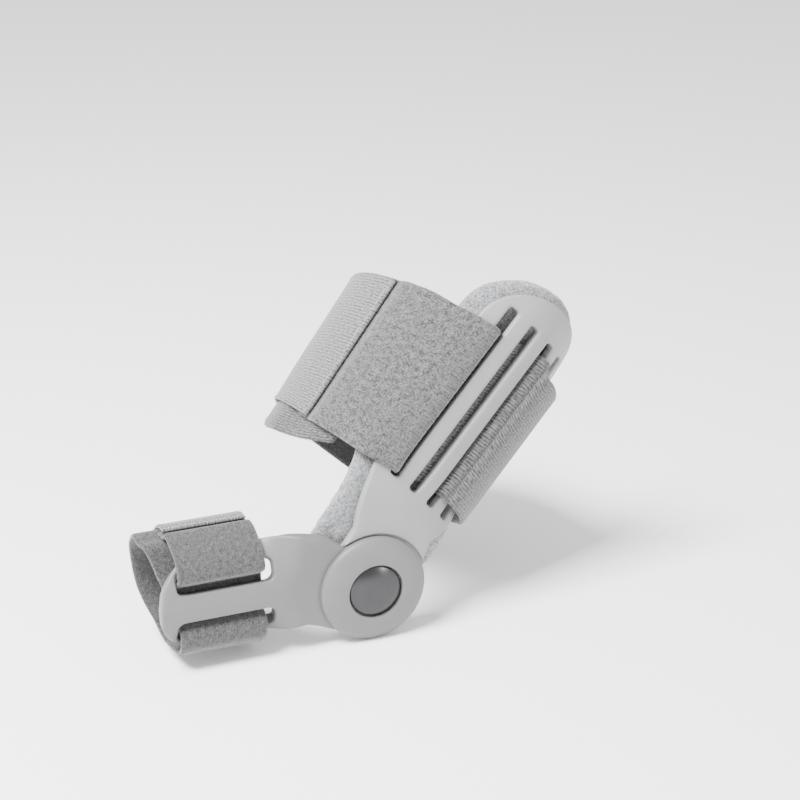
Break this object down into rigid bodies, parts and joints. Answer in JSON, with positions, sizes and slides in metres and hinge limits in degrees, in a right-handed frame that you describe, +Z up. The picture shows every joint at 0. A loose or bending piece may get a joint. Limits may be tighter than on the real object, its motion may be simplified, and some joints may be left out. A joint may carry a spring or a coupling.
{
  "type": "bunion corrector",
  "caption": "Hinged bunion splint: slotted side plate on a soft pad, slotted toe arm on a rivet, with hook-and-loop straps round the foot and the big toe.",
  "frame": {"origin": "on the hinge axis, at the pad's inner face, where the pad lies against the inner side of the foot", "axes": "+Z up with the foot standing flat, +X to the heel, -X to the toes, +Y from the pad into the foot, -Y outwards along the hinge axis"},
  "size_m": [0.145, 0.0839, 0.102],
  "materials": {
    "plate_plastic": "light grey, fine satin",
    "arm_plastic": "mid grey, fine satin",
    "rivet_metal": "dark satin, domed",
    "pad_terry": "light grey brushed terry over foam",
    "strap_loop_fabric": "grey brushed loop fabric with lengthwise ribs",
    "toe_strap_fabric": "grey brushed loop fabric, finer ribs",
    "hook_tab_weave": "grey woven back of a hook tab"
  },
  "bodies": {
    "splint": {"splint_plate": "plate_plastic", "pad": "pad_terry", "hinge_rivet": "rivet_metal", "foot_strap": "strap_loop_fabric", "foot_strap_hook_tab": "hook_tab_weave"},
    "toe_arm": {"toe_arm": "arm_plastic", "toe_strap": "toe_strap_fabric", "toe_strap_hook_tab": "hook_tab_weave"}
  },
  "joints": [
    {"name": "toe_arm_hinge", "type": "hinge", "parent": "splint", "child": "toe_arm", "pos_m": [0, 0, 0], "axis": [0, -1, 0], "range_deg": [0, 40]}
  ]
}
